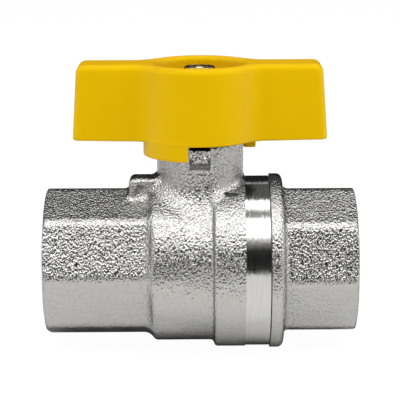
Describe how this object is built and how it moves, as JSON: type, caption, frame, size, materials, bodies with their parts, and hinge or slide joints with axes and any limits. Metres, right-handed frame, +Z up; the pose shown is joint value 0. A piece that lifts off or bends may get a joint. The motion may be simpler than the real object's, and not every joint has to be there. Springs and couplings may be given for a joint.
{
  "type": "ball valve",
  "caption": "Two-piece full-bore ball valve with female pipe threads at both ends and a quarter-turn butterfly handle on a short neck.",
  "frame": {"origin": "centre of the ball, where the pipe axis meets the stem axis", "axes": "+X along the pipe towards the screwed-in end connector, +Z up the stem towards the handle, -Y towards the side with the stop lug; valve open"},
  "size_m": [0.071, 0.0402, 0.0666],
  "materials": {
    "body_nickel": "nickel plated, blasted cast skin with a turned band",
    "connector_nickel": "nickel plated, satin",
    "ball_chrome": "hard chrome plated, polished",
    "seat_ptfe": "white PTFE",
    "stem_brass": "turned brass",
    "oring_rubber": "black nitrile rubber",
    "handle_yellow": "yellow powder coat, semi-gloss, on die-cast aluminium",
    "zinc_steel": "zinc plated",
    "nylon_dark": "dark nylon"
  },
  "bodies": {
    "valve_body": {"body": "body_nickel", "end_connector": "connector_nickel", "inlet_seat": "seat_ptfe", "outlet_seat": "seat_ptfe"},
    "spindle": {"stem": "stem_brass", "stem_thrust_washer": "seat_ptfe", "stem_oring_lower": "oring_rubber", "stem_oring_upper": "oring_rubber", "handle": "handle_yellow", "handle_washer": "zinc_steel", "handle_nut": "zinc_steel", "nut_insert": "nylon_dark"},
    "ball": {"ball": "ball_chrome"}
  },
  "joints": [
    {"name": "handle_turn", "type": "hinge", "parent": "valve_body", "child": "spindle", "pos_m": [0, 0, 0.02], "axis": [0, 0, 1], "range_deg": [-90, 0]},
    {"name": "ball_turn", "type": "hinge", "parent": "valve_body", "child": "ball", "pos_m": [0, 0, 0], "axis": [0, 0, 1], "range_deg": [-90, 0]}
  ],
  "couplings": [
    {"joint": "ball_turn", "follows": "handle_turn", "ratio": 1}
  ]
}
